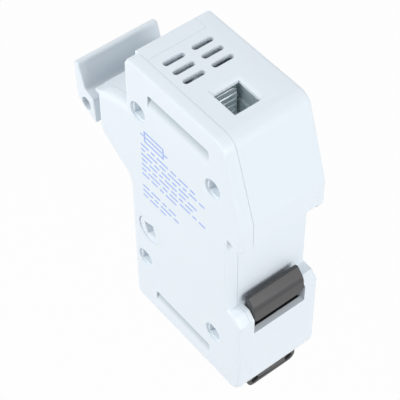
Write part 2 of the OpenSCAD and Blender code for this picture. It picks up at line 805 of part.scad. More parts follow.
module housing_body() {
    color([0.90, 0.92, 0.95]) {
        difference() {
            union() {
                difference() {
                    half_shell(-half_w, seam_x, outline);
                    chamber(-inner_x, seam_x + past);
                }
                visor(-half_w + edge_r, seam_x, 0);
                intersection() {
                    slab(-inner_x - past / 2, seam_x) side_profile(wall / 2);
                    union() {
                        both_ends() terminal_ribs();
                        bar_rest(upper_jaw_z + jaw_h / 2 + slide_gap, floor_z1);
                        bar_rest(2 * mirror_z - floor_z1, lower_jaw_z - jaw_h / 2 - slide_gap);
                        side_backing(-inner_x, 1);
                    }
                }
            }
            drawer_way(-inner_x, seam_x + past);
            block(-half_w - past, seam_x + past, 0, brim_gap, hook_z - past, rail_top);
            block(-half_w + hook_ear_w, seam_x + past, 0, far, hook_z - past, rail_top);
            side_cuts(-half_w, 1);
            both_ends() {
                vent_cuts();
                wire_cuts();
                front_plate_space(seat_gap);
            }
            clip_cuts();
        }
        block(clip_x - window_half / 2, clip_x + window_half / 2, channel_front - past, channel_back + past,
            peg_top - peg_h, peg_top);
    }
}

module side_cover() {
    color([0.91, 0.92, 0.96]) difference() {
        union() {
            difference() {
                union() {
                    half_shell(half_w, seam_x + seam_groove, cover_outline);
                    slab(seam_x, seam_x + 2 * seam_groove) side_profile(seam_groove, cover_outline);
                    intersection() {
                        slab(seam_x, seam_x + 2 * seam_groove) side_profile(0, cover_outline);
                        block(-far, far, 0, far, -far, shoulder_z - shoulder_drop);
                    }
                }
                chamber(seam_x - past, inner_x);
            }
            visor(seam_x + seam_groove, half_w - edge_r, visor_step);
            intersection() {
                slab(seam_x, inner_x + past / 2) side_profile(wall / 2);
                side_backing(inner_x, -1);
            }
        }
        drawer_way(seam_x - past, inner_x);
        block(seam_x - past, half_w + past, 0, brim_gap, hook_z - past, rail_top);
        side_cuts(half_w, -1);
    }
}

// Front cover over a terminal screw, let into the body and flush with it.
module front_plate() {
    difference() {
        intersection() {
            slab(-front_plate_edge, seam_x) side_profile(0);
            front_plate_space(0);
        }
        difference() {
            block(-front_plate_edge + wall, seam_x - wall, -block_front + wall, plate_back + past,
                floor_z1 + wall, body_up - wall);
            rod_y(term_x, term_z, driver_r + rib_t, -block_front, plate_back);
        }
        rod_y(term_x, term_z, driver_r, -block_front - past, plate_back + past);
    }
}

module upper_terminal_cover() {
    color([0.90, 0.92, 0.95]) front_plate();
}

module lower_terminal_cover() {
    color([0.90, 0.92, 0.95]) at_lower_end() front_plate();
}

// Strip that carries the current from a jaw into its terminal, with ribs across the wire face.
module terminal_bar(z_end) {
    x0 = term_x - bar_w / 2;
    difference() {
        translate([0, bar_back, 0]) rotate([90, 0, 0]) linear_extrude(bar_t) polygon(inset([
            [x0, z_end, 0, 1, 0],
            [x0 + bar_w, z_end, 0, 1, 0],
            [x0 + bar_w, bar_tip_z, bar_tip_r, 6, 0],
            [x0, bar_tip_z, bar_tip_r, 6, 0],
        ], 0));
        for (z = [bar_tip_z - bar_rib_pitch : -bar_rib_pitch : cage_z0])
            slab(x0 - past, x0 + bar_w + past) polygon([
                [bar_back - bar_rib_deep, z],
                [bar_back + tiny, z + bar_rib_deep],
                [bar_back + tiny, z - bar_rib_deep],
            ]);
        children();
    }
}

module rivet_holes(z) {
    for (side = [-1, 1])
        rod_y(term_x + side * rivet_pitch / 2, z, rivet_r, jaw_front - rod_past, bar_back + rod_past);
}

module upper_terminal_bar() {
    color([0.80, 0.81, 0.80]) terminal_bar(upper_bar_low) rivet_holes(upper_jaw_z);
}

module lower_terminal_bar() {
    color([0.80, 0.81, 0.80]) at_lower_end()
        terminal_bar(2 * mirror_z - lower_bar_high) rivet_holes(2 * mirror_z - lower_jaw_z);
}

// U-shaped jaw that grips a fuse ferrule from both sides and opens to the front.
module fuse_jaw(z) {
    leaf_out = [
        [jaw_out, jaw_back],
        [jaw_out, jaw_tip + jaw_flare_len],
        [jaw_out + jaw_flare, jaw_tip],
    ];
    leaf_in = [
        [jaw_in + jaw_flare, jaw_tip],
        [jaw_in, jaw_tip + jaw_flare_len],
        [jaw_in, jaw_front],
    ];
    right_leaf = concat(leaf_out, leaf_in);
    difference() {
        translate([0, 0, z - jaw_h / 2]) linear_extrude(jaw_h) polygon(concat(
            right_leaf,
            [for (i = [len(right_leaf) - 1 : -1 : 0]) [-right_leaf[i][0], right_leaf[i][1]]]
        ));
        rivet_holes(z);
    }
}

module upper_fuse_jaw() {
    color([0.78, 0.62, 0.42]) fuse_jaw(upper_jaw_z);
}

module lower_fuse_jaw() {
    color([0.78, 0.62, 0.42]) fuse_jaw(lower_jaw_z);
}

// Steel spring that backs a jaw's leaves from outside and shares its rivets.
module jaw_spring(z) {
    arm_tip = jaw_tip + jaw_flare_len + slide_gap;
    arm_out = jaw_out + spring_t;
    difference() {
        translate([0, 0, z - spring_h / 2]) linear_extrude(spring_h) polygon([
            [-arm_out, bar_back + spring_t],
            [-arm_out, arm_tip],
            [-jaw_out, arm_tip],
            [-jaw_out, bar_back],
            [jaw_out, bar_back],
            [jaw_out, arm_tip],
            [arm_out, arm_tip],
            [arm_out, bar_back + spring_t],
        ]);
        rivet_holes(z);
    }
}

module upper_jaw_spring() {
    color([0.62, 0.64, 0.67]) jaw_spring(upper_jaw_z);
}

module lower_jaw_spring() {
    color([0.62, 0.64, 0.67]) jaw_spring(lower_jaw_z);
}

// Rivets that hold each jaw, bar and spring together.
module contact_rivets() {
    spring_back = bar_back + spring_t;
    color([0.72, 0.70, 0.66])
        for (z = [upper_jaw_z, lower_jaw_z], side = [-1, 1]) {
            x = term_x + side * rivet_pitch / 2;
            rod_y(x, z, rivet_r, jaw_front - tiny, spring_back + tiny);
            rod_y(x, z, rivet_head_r, jaw_front - rivet_head_h, jaw_front);
            rod_y(x, z, rivet_head_r, spring_back, spring_back + rivet_head_h);
        }
}

// Folded steel cage that a terminal screw draws forward to clamp the wire against its bar.
module terminal_cage() {
    in_half = cage_in_w / 2;
    fold_in_r = cage_fold_r - cage_t;
    difference() {
        translate([term_x, 0, cage_z0]) linear_extrude(cage_h) polygon(inset([
            [-cage_half, cage_front, cage_fold_r, 5, 0],
            [cage_half, cage_front, cage_fold_r, 5, 0],
            [cage_half, cage_back, cage_fold_r, 5, 0],
            [-cage_half, cage_back, cage_fold_r, 5, 0],
        ], 0));
        translate([term_x, 0, term_z]) linear_extrude(cage_h) polygon(inset([
            [-in_half, cage_in_front, fold_in_r, 3, 0],
            [in_half, cage_in_front, fold_in_r, 3, 0],
            [in_half, cage_in_back, fold_in_r, 3, 0],
            [-in_half, cage_in_back, fold_in_r, 3, 0],
        ], 0));
        block(term_x - in_half + cage_step, term_x + in_half - cage_step, cage_in_front, cage_in_back,
            cage_z0 - past, term_z + past);
        rod_y(term_x, term_z, screw_r + run_fit, cage_front - past, cage_in_front + past);
    }
}

module upper_terminal_cage() {
    color([0.70, 0.74, 0.75]) terminal_cage();
}

module lower_terminal_cage() {
    color([0.70, 0.74, 0.75]) at_lower_end() terminal_cage();
}

// Captive screw with a cross slot, reached from the front.
module terminal_screw() {
    difference() {
        union() {
            rod_y(term_x, term_z, screw_head_r, head_front, shelf_front);
            rod_y(term_x, term_z, screw_r, shelf_front - tiny, screw_tip);
        }
        for (turn = [0, 90])
            translate([term_x, head_front, term_z]) rotate([0, turn, 0])
                cube([screw_slot_len, 2 * screw_slot_deep, screw_slot_w], center = true);
    }
}

module upper_terminal_screw() {
    color([0.66, 0.68, 0.70]) terminal_screw();
}

module lower_terminal_screw() {
    color([0.66, 0.68, 0.70]) at_lower_end() terminal_screw();
}

module in_drawer_front() {
    intersection() {
        children();
        rod_x(pivot, swing_r, -far, far);
        block(-far, far, -far, far, pivot[1], far);
    }
}

// Swing-out drawer: handle, front panel, two cheeks and a cradle for the fuse.
module fuse_drawer() {
    neck_half = drawer_half - slide_gap;
    panel_y = -nose_front + panel_recess;
    steps = edge_steps(handle_edge_r);
    half = handle_w / 2;
    color([0.90, 0.92, 0.95]) difference() {
        union() {
            loft(
                concat([for (s = steps) s - half], [for (i = [len(steps) - 1 : -1 : 0]) half - steps[i]]),
                concat([for (s = steps) edge_ring(handle_outline, s)],
                    [for (i = [len(steps) - 1 : -1 : 0]) edge_ring(handle_outline, steps[i])]),
                handle_face
            );
            block(-neck_half, neck_half, ear_y - past, panel_y + past, ear_low_z + past, ear_top_z - past);
            in_drawer_front() difference() {
                slab(-drawer_half, drawer_half) side_profile(panel_recess);
                slab(-drawer_half - past, drawer_half + past) side_profile(panel_recess + panel_t);
                block(-far, far, sill_y + panel_recess, far, -far, far);
            }
            intersection() {
                difference() {
                    rod_x(pivot, skirt_out, -drawer_half, drawer_half);
                    rod_x(pivot, skirt_in, -drawer_half - past, drawer_half + past);
                }
                slab(-drawer_half, drawer_half) polygon([
                    pivot,
                    pivot + far * [-1, 0],
                    pivot + far * [-cos(skirt_angle), -sin(skirt_angle)],
                ]);
            }
            for (side = [-1, 1]) mirror([side < 0 ? 1 : 0, 0, 0]) {
                rod_x(pivot, skirt_in + panel_t / 2, cheek_in, drawer_half);
                in_drawer_front() intersection() {
                    slab(cheek_in, drawer_half) side_profile(panel_recess);
                    slab(cheek_in, drawer_half) polygon([
                        pivot + [-far, 0],
                        pivot + [skirt_in, past],
                        [cradle_back, fuse_mid_z - cradle_half + cradle_t],
                        [cradle_back, fuse_mid_z + cradle_half + cradle_t],
                        [-block_front, ear_top_z],
                        [panel_y, lip_root_z],
                        [-far, lip_root_z],
                    ]);
                }
            }
            for (side = [-1, 1]) {
                z = fuse_mid_z + side * cradle_half;
                intersection() {
                    slab(-drawer_half, drawer_half) side_profile(panel_recess + past);
                    difference() {
                        block(-drawer_half, drawer_half, -far, cradle_back,
                            z - cradle_t / 2, z + cradle_t / 2);
                        block(-cradle_in, cradle_in, cradle_front, far, z - cradle_t, z + cradle_t);
                    }
                }
            }
        }
        rod_x([-seal_fwd, seal_z], seal_r, -half - past, half + past);
        rod_x(pivot, pin_boss_r, -far, far);
    }
}

// Pivot pin with a square socket for a bar that links neighbouring drawers.
module pivot_pin() {
    disc_face = half_w - pin_recess;
    difference() {
        union() {
            rod_x(pivot, pin_r, drawer_half, disc_face);
            rod_x(pivot, pin_boss_r, cheek_in, drawer_half + tiny);
        }
        translate([disc_face, pivot[0], pivot[1]]) rotate([pin_socket_turn, 0, 0])
            cube([2 * pin_socket_deep, pin_socket, pin_socket], center = true);
    }
}

module right_pivot_pin() {
    color([0.90, 0.92, 0.95]) pivot_pin();
}

module left_pivot_pin() {
    color([0.90, 0.92, 0.95]) mirror([1, 0, 0]) pivot_pin();
}

// Sprung slide that grips the rail's lower brim and is pulled down by its tab.
module din_clip() {
    color([0.16, 0.16, 0.17]) difference() {
        union() {
            intersection() {
                slab(clip_x - clip_half - past, clip_x + clip_half + past) polygon(inset(clip_outline, 0));
                translate([clip_x, far, 0]) rotate([90, 0, 0])
                    linear_extrude(2 * far) polygon(inset(clip_face(clip_top + past, clip_low, head_corner_r), 0));
            }
            translate([clip_x, clip_plate_back, 0]) rotate([90, 0, 0]) linear_extrude(clip_plate_t)
                polygon(inset(clip_face(clip_low + head_corner_r + past, tab_low, tab_r), 0));
        }
        block(clip_x - window_half, clip_x + window_half, clip_plate_y - past, clip_plate_back + past,
            window_low, window_top);
        block(clip_x - clip_half - past, clip_x + clip_half + past, clip_plate_y + neck_t, clip_back + past,
            neck_low, clip_low);
        for (side = [-1, 1])
            rod_y(clip_x + side * tab_hole_pitch / 2, -body_down - tab_len / 2, tab_hole_r,
                clip_plate_y - past, clip_plate_back + past);
    }
}

// Coil spring between the body's peg and the top of the clip's window.
function coil_ring(i) =
    let (
        a = 360 * i / coil_steps,
        z = peg_top + coil_wire_r + coil_rise * i / (coil_steps * coil_turns),
        slope = atan2(coil_rise / coil_turns, 2 * PI * coil_mid_r)
    )
    [
        for (j = [0 : coil_sides - 1])
            let (
                b = 360 * j / coil_sides,
                out = coil_mid_r + coil_wire_r * cos(b),
                lift = coil_wire_r * sin(b)
            )
            [
                clip_x + out * cos(a) + lift * sin(slope) * sin(a),
                clip_plate_y + clip_plate_t / 2 + out * sin(a) - lift * sin(slope) * cos(a),
                z + lift * cos(slope)
            ]
    ];

module clip_spring() {
    m = coil_steps * coil_turns;
    n = coil_sides;
    points = [for (i = [0 : m]) each coil_ring(i)];
    sides = [
        for (i = [0 : m - 1])
            for (j = [0 : n - 1])
                let (a = i * n + j, b = i * n + (j + 1) % n)
                each [[a, b, a + n], [b, b + n, a + n]]
    ];
    ends = [
        for (j = [1 : n - 2])
            each [[0, j + 1, j], [m * n, m * n + j, m * n + j + 1]]
    ];
    color([0.6, 0.62, 0.65]) polyhedron(points, concat(sides, ends), convexity = 10);
}

housing_body();
side_cover();
upper_terminal_cover();
lower_terminal_cover();
upper_terminal_bar();
lower_terminal_bar();
upper_fuse_jaw();
lower_fuse_jaw();
upper_jaw_spring();
lower_jaw_spring();
contact_rivets();
upper_terminal_cage();
lower_terminal_cage();
upper_terminal_screw();
lower_terminal_screw();
fuse_drawer();
right_pivot_pin();
left_pivot_pin();
din_clip();
clip_spring();
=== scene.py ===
"""Look of a one-pole cartridge fuse holder for a 35 mm rail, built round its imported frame."""

import math

import bmesh
import bpy
from mathutils import Matrix, Vector


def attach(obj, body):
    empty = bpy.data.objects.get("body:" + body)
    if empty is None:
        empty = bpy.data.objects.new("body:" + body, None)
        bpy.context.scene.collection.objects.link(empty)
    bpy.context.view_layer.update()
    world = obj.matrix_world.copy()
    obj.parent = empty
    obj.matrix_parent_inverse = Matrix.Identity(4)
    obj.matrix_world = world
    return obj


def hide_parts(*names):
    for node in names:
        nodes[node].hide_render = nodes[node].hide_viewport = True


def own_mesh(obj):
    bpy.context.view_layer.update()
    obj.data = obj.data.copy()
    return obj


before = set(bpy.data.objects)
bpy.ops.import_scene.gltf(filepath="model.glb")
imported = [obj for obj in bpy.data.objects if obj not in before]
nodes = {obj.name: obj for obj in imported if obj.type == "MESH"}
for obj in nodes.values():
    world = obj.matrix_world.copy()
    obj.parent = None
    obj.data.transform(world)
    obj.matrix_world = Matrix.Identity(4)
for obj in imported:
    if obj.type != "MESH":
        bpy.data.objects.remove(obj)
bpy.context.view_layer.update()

# Housing body and side cover.
# Two injection-moulded halves in a pale, cool grey-white plastic with a satin tool finish.
# They meet at a fine seam. A tint that grows with depth stands in for the side grooves' shade.


def skin_group(name, inputs, outputs):
    """An empty node group with named sockets, where a label that ends in Colour is a colour."""
    group = bpy.data.node_groups.new(name, "ShaderNodeTree")
    for in_out, labels in (("INPUT", inputs), ("OUTPUT", outputs)):
        for label in labels:
            kind = "NodeSocketColor" if label.endswith("Colour") else "NodeSocketFloat"
            group.interface.new_socket(label, in_out=in_out, socket_type=kind)
    return group


def set_sockets(node, values):
    """Sets plain values on the named inputs of a node."""
    for label, value in values.items():
        node.inputs[label].default_value = value


def join_sockets(tree, *pairs):
    """Links pairs of sockets, each from an output to an input."""
    for source, target in pairs:
        tree.links.new(source, target)


moulded_skin = skin_group(
    "Moulded skin",
    ("Colour", "Flow Colour", "Flow Scale", "Grain Scale", "Roughness From", "Roughness To"),
    ("Colour", "Roughness", "Grain"),
)
skin_in = moulded_skin.nodes.new("NodeGroupInput")
skin_out = moulded_skin.nodes.new("NodeGroupOutput")
skin_place = moulded_skin.nodes.new("ShaderNodeTexCoord")
flow = moulded_skin.nodes.new("ShaderNodeTexNoise")
set_sockets(flow, {"Detail": 3.0, "Distortion": 0.6})
grain = moulded_skin.nodes.new("ShaderNodeTexNoise")
set_sockets(grain, {"Detail": 4.0, "Roughness": 0.65})
flow_mix = moulded_skin.nodes.new("ShaderNodeMix")
flow_mix.data_type = "RGBA"
sheen_span = moulded_skin.nodes.new("ShaderNodeMapRange")
join_sockets(
    moulded_skin,
    (skin_place.outputs["Object"], flow.inputs["Vector"]),
    (skin_place.outputs["Object"], grain.inputs["Vector"]),
    (skin_in.outputs["Flow Scale"], flow.inputs["Scale"]),
    (skin_in.outputs["Grain Scale"], grain.inputs["Scale"]),
    (flow.outputs["Fac"], flow_mix.inputs["Factor"]),
    (skin_in.outputs["Colour"], flow_mix.inputs["A"]),
    (skin_in.outputs["Flow Colour"], flow_mix.inputs["B"]),
    (flow.outputs["Fac"], sheen_span.inputs["Value"]),
    (skin_in.outputs["Roughness From"], sheen_span.inputs["To Min"]),
    (skin_in.outputs["Roughness To"], sheen_span.inputs["To Max"]),
    (flow_mix.outputs["Result"], skin_out.inputs["Colour"]),
    (sheen_span.outputs["Result"], skin_out.inputs["Roughness"]),
    (grain.outputs["Fac"], skin_out.inputs["Grain"]),
)


def skin_material(name, skin, values, relief, bump_strength, bump_depth):
    """A material that takes its colour, roughness and relief from a skin group."""
    material = bpy.data.materials.new(name)
    material.use_nodes = True
    tree = material.node_tree
    shader = tree.nodes["Principled BSDF"]
    dress = tree.nodes.new("ShaderNodeGroup")
    dress.node_tree = skin
    set_sockets(dress, values)
    bump = tree.nodes.new("ShaderNodeBump")
    set_sockets(bump, {"Strength": bump_strength, "Distance": bump_depth})
    join_sockets(
        tree,
        (dress.outputs["Colour"], shader.inputs["Base Color"]),
        (dress.outputs["Roughness"], shader.inputs["Roughness"]),
        (dress.outputs[relief], bump.inputs["Height"]),
        (bump.outputs["Normal"], shader.inputs["Normal"]),
    )
    return material, shader


def moulded_plastic(name, colour, flow_colour, roughness, grain_scale, grain_depth):
    """Plastic with faint flow marks in its colour and the fine grain of an eroded tool."""
    values = {
        "Colour": (*colour, 1),
        "Flow Colour": (*flow_colour, 1),
        "Flow Scale": 55.0,
        "Grain Scale": grain_scale,
        "Roughness From": roughness[0],
        "Roughness To": roughness[1],
    }
    return skin_material(
        name, moulded_skin, values, "Grain", bump_strength=0.35, bump_depth=grain_depth
    )


def finish_node(name, material, edge):
    """Gives a CAD node its material, joins its facets and breaks its edges by a width, if any."""
    weld_gap = 2e-6
    plain_angle = math.radians(0.4)
    crease_angle = math.radians(32)
    piece = nodes[name]
    piece.data.materials.clear()
    piece.data.materials.append(material)
    for polygon in piece.data.polygons:
        polygon.use_smooth = True
    weld = piece.modifiers.new("joined_facets", "WELD")
    weld.merge_threshold = weld_gap
    if edge > 0:
        flats = piece.modifiers.new("plain_faces", "DECIMATE")
        flats.decimate_type = "DISSOLVE"
        flats.angle_limit = plain_angle
        piece.modifiers.new("plain_triangles", "TRIANGULATE")
        bevel = piece.modifiers.new("broken_edges", "BEVEL")
        bevel.width = edge
        bevel.segments = 2
        bevel.limit_method = "ANGLE"
        bevel.angle_limit = crease_angle
        bevel.use_clamp_overlap = False
    else:
        split = piece.modifiers.new("crisp_edges", "EDGE_SPLIT")
        split.split_angle = crease_angle
        split.use_edge_sharp = False
    shading = piece.modifiers.new("flat_shading", "WEIGHTED_NORMAL")
    shading.keep_sharp = True


housing_plastic, housing_shader = moulded_plastic(
    "housing_plastic",
    colour=(0.796, 0.850, 0.898),
    flow_colour=(0.786, 0.843, 0.894),
    roughness=(0.36, 0.46),
    grain_scale=5200.0,
    grain_depth=0.00003,
)
set_sockets(housing_shader, {
    "IOR": 1.49,
    "Subsurface Weight": 0.08,
    "Subsurface Radius": (0.0012, 0.0011, 0.0010),
    "Subsurface Scale": 1.0,
})

# The tint below is painted shade: the side grooves are darkened more the deeper they go.
# The tint starts at the rim and is full at the bed, both measured out from the middle plane.
# Each span is the middle and half the length of the room in which the mask may be on.
groove_rim = 0.01796
groove_bed = 0.01690
groove_wall = (0.01720, 0.00090)
groove_run = (-0.02515, 0.01610)
upper_groove = (0.04955, 0.00285)
lower_groove = (-0.05545, 0.00285)
groove_shade_colour = (0.455, 0.53, 0.545, 1)
groove_shade = skin_group("Groove shade", (), ("Mask",))
shade_out = groove_shade.nodes.new("NodeGroupOutput")
shade_place = groove_shade.nodes.new("ShaderNodeTexCoord")
shade_axes = groove_shade.nodes.new("ShaderNodeSeparateXYZ")
join_sockets(groove_shade, (shade_place.outputs["Object"], shade_axes.inputs["Vector"]))


def shade_step(operation, *values):
    """One step of the mask, from sockets and plain numbers."""
    step = groove_shade.nodes.new("ShaderNodeMath")
    step.operation = operation
    for socket, value in zip(step.inputs, values):
        if isinstance(value, float):
            socket.default_value = value
        else:
            groove_shade.links.new(value, socket)
    return step.outputs["Value"]


outward = shade_step("ABSOLUTE", shade_axes.outputs["X"])
shade_depth = groove_shade.nodes.new("ShaderNodeMapRange")
set_sockets(shade_depth, {"From Min": groove_rim, "From Max": groove_bed})
join_sockets(groove_shade, (outward, shade_depth.inputs["Value"]))
in_wall = shade_step("COMPARE", outward, *groove_wall)
in_run = shade_step("COMPARE", shade_axes.outputs["Y"], *groove_run)
in_height = shade_step(
    "MAXIMUM",
    shade_step("COMPARE", shade_axes.outputs["Z"], *upper_groove),
    shade_step("COMPARE", shade_axes.outputs["Z"], *lower_groove),
)
in_groove = shade_step("MULTIPLY", shade_step("MULTIPLY", in_wall, in_run), in_height)
shade_mask = shade_step("MULTIPLY", shade_depth.outputs["Result"], in_groove)
join_sockets(groove_shade, (shade_mask, shade_out.inputs["Mask"]))
housing_tree = housing_plastic.node_tree
shade = housing_tree.nodes.new("ShaderNodeGroup")
shade.node_tree = groove_shade
shade_mix = housing_tree.nodes.new("ShaderNodeMix")
shade_mix.data_type = "RGBA"
set_sockets(shade_mix, {"B": groove_shade_colour})
join_sockets(
    housing_tree,
    (shade.outputs["Mask"], shade_mix.inputs["Factor"]),
    (housing_shader.inputs["Base Color"].links[0].from_socket, shade_mix.inputs["A"]),
    (shade_mix.outputs["Result"], housing_shader.inputs["Base Color"]),
)
for name in ("housing_body", "side_cover"):
    finish_node(name, housing_plastic, edge=0)

# Terminal covers.
# Small moulded blocks of the same plastic, let into the front over the two terminal screws.
# Each has a round hole for the screwdriver.
for name in ("upper_terminal_cover", "lower_terminal_cover"):
    finish_node(name, housing_plastic, edge=0)

# Print on the side cover.
# One pad-printed film of pale blue ink: the general sign for a fuse and plain bars in rows.
# It is laid on the flat of the cover and is thinner than a sheet of paper.
blue_ink, _ = moulded_plastic(
    "blue_ink",
    colour=(0.315, 0.425, 0.835),
    flow_colour=(0.375, 0.480, 0.850),
    roughness=(0.40, 0.55),
    grain_scale=5200.0,
    grain_depth=0.00001,
)
film_sides = (0.01799, 0.018012)
# From here in millimetres: y along the face, z up it.
row_start = -46.0
bar_gap = 1.0
bar_half = 0.42
print_rows = (
    (25.2, (4.6, 2.2, 6.4, 3.4, 5.2, 2.8)),
    (22.7, (2.4, 5.8, 3.6, 7.0, 2.2, 4.4, 3.0)),
    (20.2, (6.2, 3.0, 4.8, 2.6, 5.4)),
    (17.7, (3.4, 4.4, 2.2, 6.6, 3.8, 5.0)),
    (15.2, (5.0, 2.8, 5.6, 3.2, 2.4, 4.2)),
    (12.7, (2.6, 6.8, 3.0, 4.6, 5.8, 2.4, 3.6)),
    (10.2, (4.2, 3.6, 2.4, 6.0)),
    (4.0, (3.8, 5.2, 2.6, 4.0)),
    (1.5, (5.6, 2.4, 6.2, 3.0)),
    (-1.0, (2.8, 4.8, 3.4)),
)
sign_half = 0.4
sign_bars = (
    (-46.0, -44.1, 30.3),
    (-43.1, -33.9, 30.3),
    (-32.9, -31.0, 30.3),
    (-44.0, -33.0, 32.6),
    (-44.0, -33.0, 28.0),
)
sign_ends = ((-44.0, -43.2), (-33.8, -33.0))
sign_low, sign_high = 28.45, 32.15
print_mesh = bmesh.new()


def ink_patch(outline):
    """A patch of ink from the y and z of its outline."""
    low, high = (
        [print_mesh.verts.new((x, y / 1000, z / 1000)) for y, z in outline] for x in film_sides
    )
    print_mesh.faces.new(high)
    print_mesh.faces.new(low[::-1])
    for i in range(len(outline)):
        j = (i + 1) % len(outline)
        print_mesh.faces.new((low[i], low[j], high[j], high[i]))


def ink_bar(y0, y1, z, half):
    """A bar of ink with rounded ends."""
    round_steps = 6
    outline = []
    for end_y, start in ((y1 - half, -90), (y0 + half, 90)):
        for step in range(round_steps + 1):
            turn = math.radians(start + 180 / round_steps * step)
            outline.append((end_y + half * math.cos(turn), z + half * math.sin(turn)))
    ink_patch(outline)


for y0, y1, z in sign_bars:
    ink_bar(y0, y1, z, sign_half)
for y0, y1 in sign_ends:
    ink_patch([(y0, sign_low), (y1, sign_low), (y1, sign_high), (y0, sign_high)])
for row_z, lengths in print_rows:
    y = row_start
    for length in lengths:
        ink_bar(y, y + length, row_z, bar_half)
        y += length + bar_gap
bmesh.ops.recalc_face_normals(print_mesh, faces=print_mesh.faces[:])
print_data = bpy.data.meshes.new("side_print")
print_mesh.to_mesh(print_data)
print_mesh.free()
side_print = bpy.data.objects.new("side_print", print_data)
bpy.context.scene.collection.objects.link(side_print)
print_data.materials.append(blue_ink)
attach(side_print, "housing")

# Terminal bars.
# Tinned copper strips that lead from a fuse jaw into its terminal, ribbed to hold the wire.
# Each is riveted between its jaw and the jaw's spring.
metal_skin = skin_group(
    "Drawn metal skin",
    ("Colour", "Bloom Colour", "Bloom Scale", "Streak Scale", "Roughness From", "Roughness To"),
    ("Colour", "Roughness", "Streaks"),
)
metal_in = metal_skin.nodes.new("NodeGroupInput")
metal_out = metal_skin.nodes.new("NodeGroupOutput")
metal_place = metal_skin.nodes.new("ShaderNodeTexCoord")
bloom = metal_skin.nodes.new("ShaderNodeTexNoise")
set_sockets(bloom, {"Detail": 4.0})
drawn = metal_skin.nodes.new("ShaderNodeMapping")
set_sockets(drawn, {"Scale": (1.0, 0.12, 1.0)})
streaks = metal_skin.nodes.new("ShaderNodeTexNoise")
set_sockets(streaks, {"Detail": 3.0})
bloom_mix = metal_skin.nodes.new("ShaderNodeMix")
bloom_mix.data_type = "RGBA"
polish = metal_skin.nodes.new("ShaderNodeMapRange")
join_sockets(
    metal_skin,
    (metal_place.outputs["Object"], bloom.inputs["Vector"]),
    (metal_place.outputs["Object"], drawn.inputs["Vector"]),
    (drawn.outputs["Vector"], streaks.inputs["Vector"]),
    (metal_in.outputs["Bloom Scale"], bloom.inputs["Scale"]),
    (metal_in.outputs["Streak Scale"], streaks.inputs["Scale"]),
    (bloom.outputs["Fac"], bloom_mix.inputs["Factor"]),
    (metal_in.outputs["Colour"], bloom_mix.inputs["A"]),
    (metal_in.outputs["Bloom Colour"], bloom_mix.inputs["B"]),
    (streaks.outputs["Fac"], polish.inputs["Value"]),
    (metal_in.outputs["Roughness From"], polish.inputs["To Min"]),
    (metal_in.outputs["Roughness To"], polish.inputs["To Max"]),
    (bloom_mix.outputs["Result"], metal_out.inputs["Colour"]),
    (polish.outputs["Result"], metal_out.inputs["Roughness"]),
    (streaks.outputs["Fac"], metal_out.inputs["Streaks"]),
)


def drawn_metal(name, colour, bloom_colour, roughness):
    """Metal under a dull film, with a cloudy bloom and the fine streaks of drawn strip."""
    values = {
        "Colour": (*colour, 1),
        "Bloom Colour": (*bloom_colour, 1),
        "Bloom Scale": 260.0,
        "Streak Scale": 2600.0,
        "Roughness From": roughness[0],
        "Roughness To": roughness[1],
    }
    material, shader = skin_material(
        name, metal_skin, values, "Streaks", bump_strength=0.4, bump_depth=0.00002
    )
    set_sockets(shader, {"Metallic": 0.86})
    return material


tinned_copper = drawn_metal(
    "tinned_copper",
    colour=(0.86, 0.89, 0.89),
    bloom_colour=(0.77, 0.83, 0.84),
    roughness=(0.26, 0.44),
)
for name in ("upper_terminal_bar", "lower_terminal_bar"):
    finish_node(name, tinned_copper, edge=0.00016)

# Fuse jaws.
# Clips of springy copper alloy that grip the fuse's end caps, with flared tips.
# They are bent from strip and riveted to the terminal bars.
contact_brass = drawn_metal(
    "contact_brass",
    colour=(0.78, 0.72, 0.62),
    bloom_colour=(0.70, 0.62, 0.50),
    roughness=(0.24, 0.42),
)
for name in ("upper_fuse_jaw", "lower_fuse_jaw"):
    finish_node(name, contact_brass, edge=0.00015)

# Jaw springs and rivets.
# Steel springs press the jaws on to the fuse.
# Solid rivets of the jaws' alloy hold jaw, bar and spring together.
spring_steel = drawn_metal(
    "spring_steel",
    colour=(0.58, 0.60, 0.63),
    bloom_colour=(0.50, 0.53, 0.57),
    roughness=(0.28, 0.44),
)
for name in ("upper_jaw_spring", "lower_jaw_spring"):
    finish_node(name, spring_steel, edge=0.00010)
finish_node("contact_rivets", contact_brass, edge=0.00020)

# Terminal cages and screws.
# Folded steel cages with a threaded front wall, drawn forward by captive screws.
# Both are zinc plated with a blue-green passivation.
zinc_steel = drawn_metal(
    "zinc_steel",
    colour=(0.80, 0.86, 0.88),
    bloom_colour=(0.68, 0.77, 0.80),
    roughness=(0.34, 0.54),
)
for name in ("upper_terminal_cage", "lower_terminal_cage"):
    finish_node(name, zinc_steel, edge=0.00035)
for name in ("upper_terminal_screw", "lower_terminal_screw"):
    finish_node(name, zinc_steel, edge=0.00015)

# Fuse drawer and its pivot pins.
# One moulding with a bent pull handle, front panel, cheeks and a cradle for the fuse.
# It turns on two pins of the same plastic with square sockets, fixed in its cheeks.
finish_node("fuse_drawer", housing_plastic, edge=0)
for name in ("right_pivot_pin", "left_pivot_pin"):
    finish_node(name, housing_plastic, edge=0.00018)

# Rail clip.
# A charcoal slide moulded in glass-filled plastic, held in a channel at the housing's back.
# It snaps under the rail and is pulled down by its tab.
clip_plastic, clip_shader = moulded_plastic(
    "clip_plastic",
    colour=(0.024, 0.024, 0.026),
    flow_colour=(0.033, 0.032, 0.035),
    roughness=(0.36, 0.46),
    grain_scale=3600.0,
    grain_depth=0.00006,
)
set_sockets(clip_shader, {"IOR": 1.6})
finish_node("din_clip", clip_plastic, edge=0.00025)
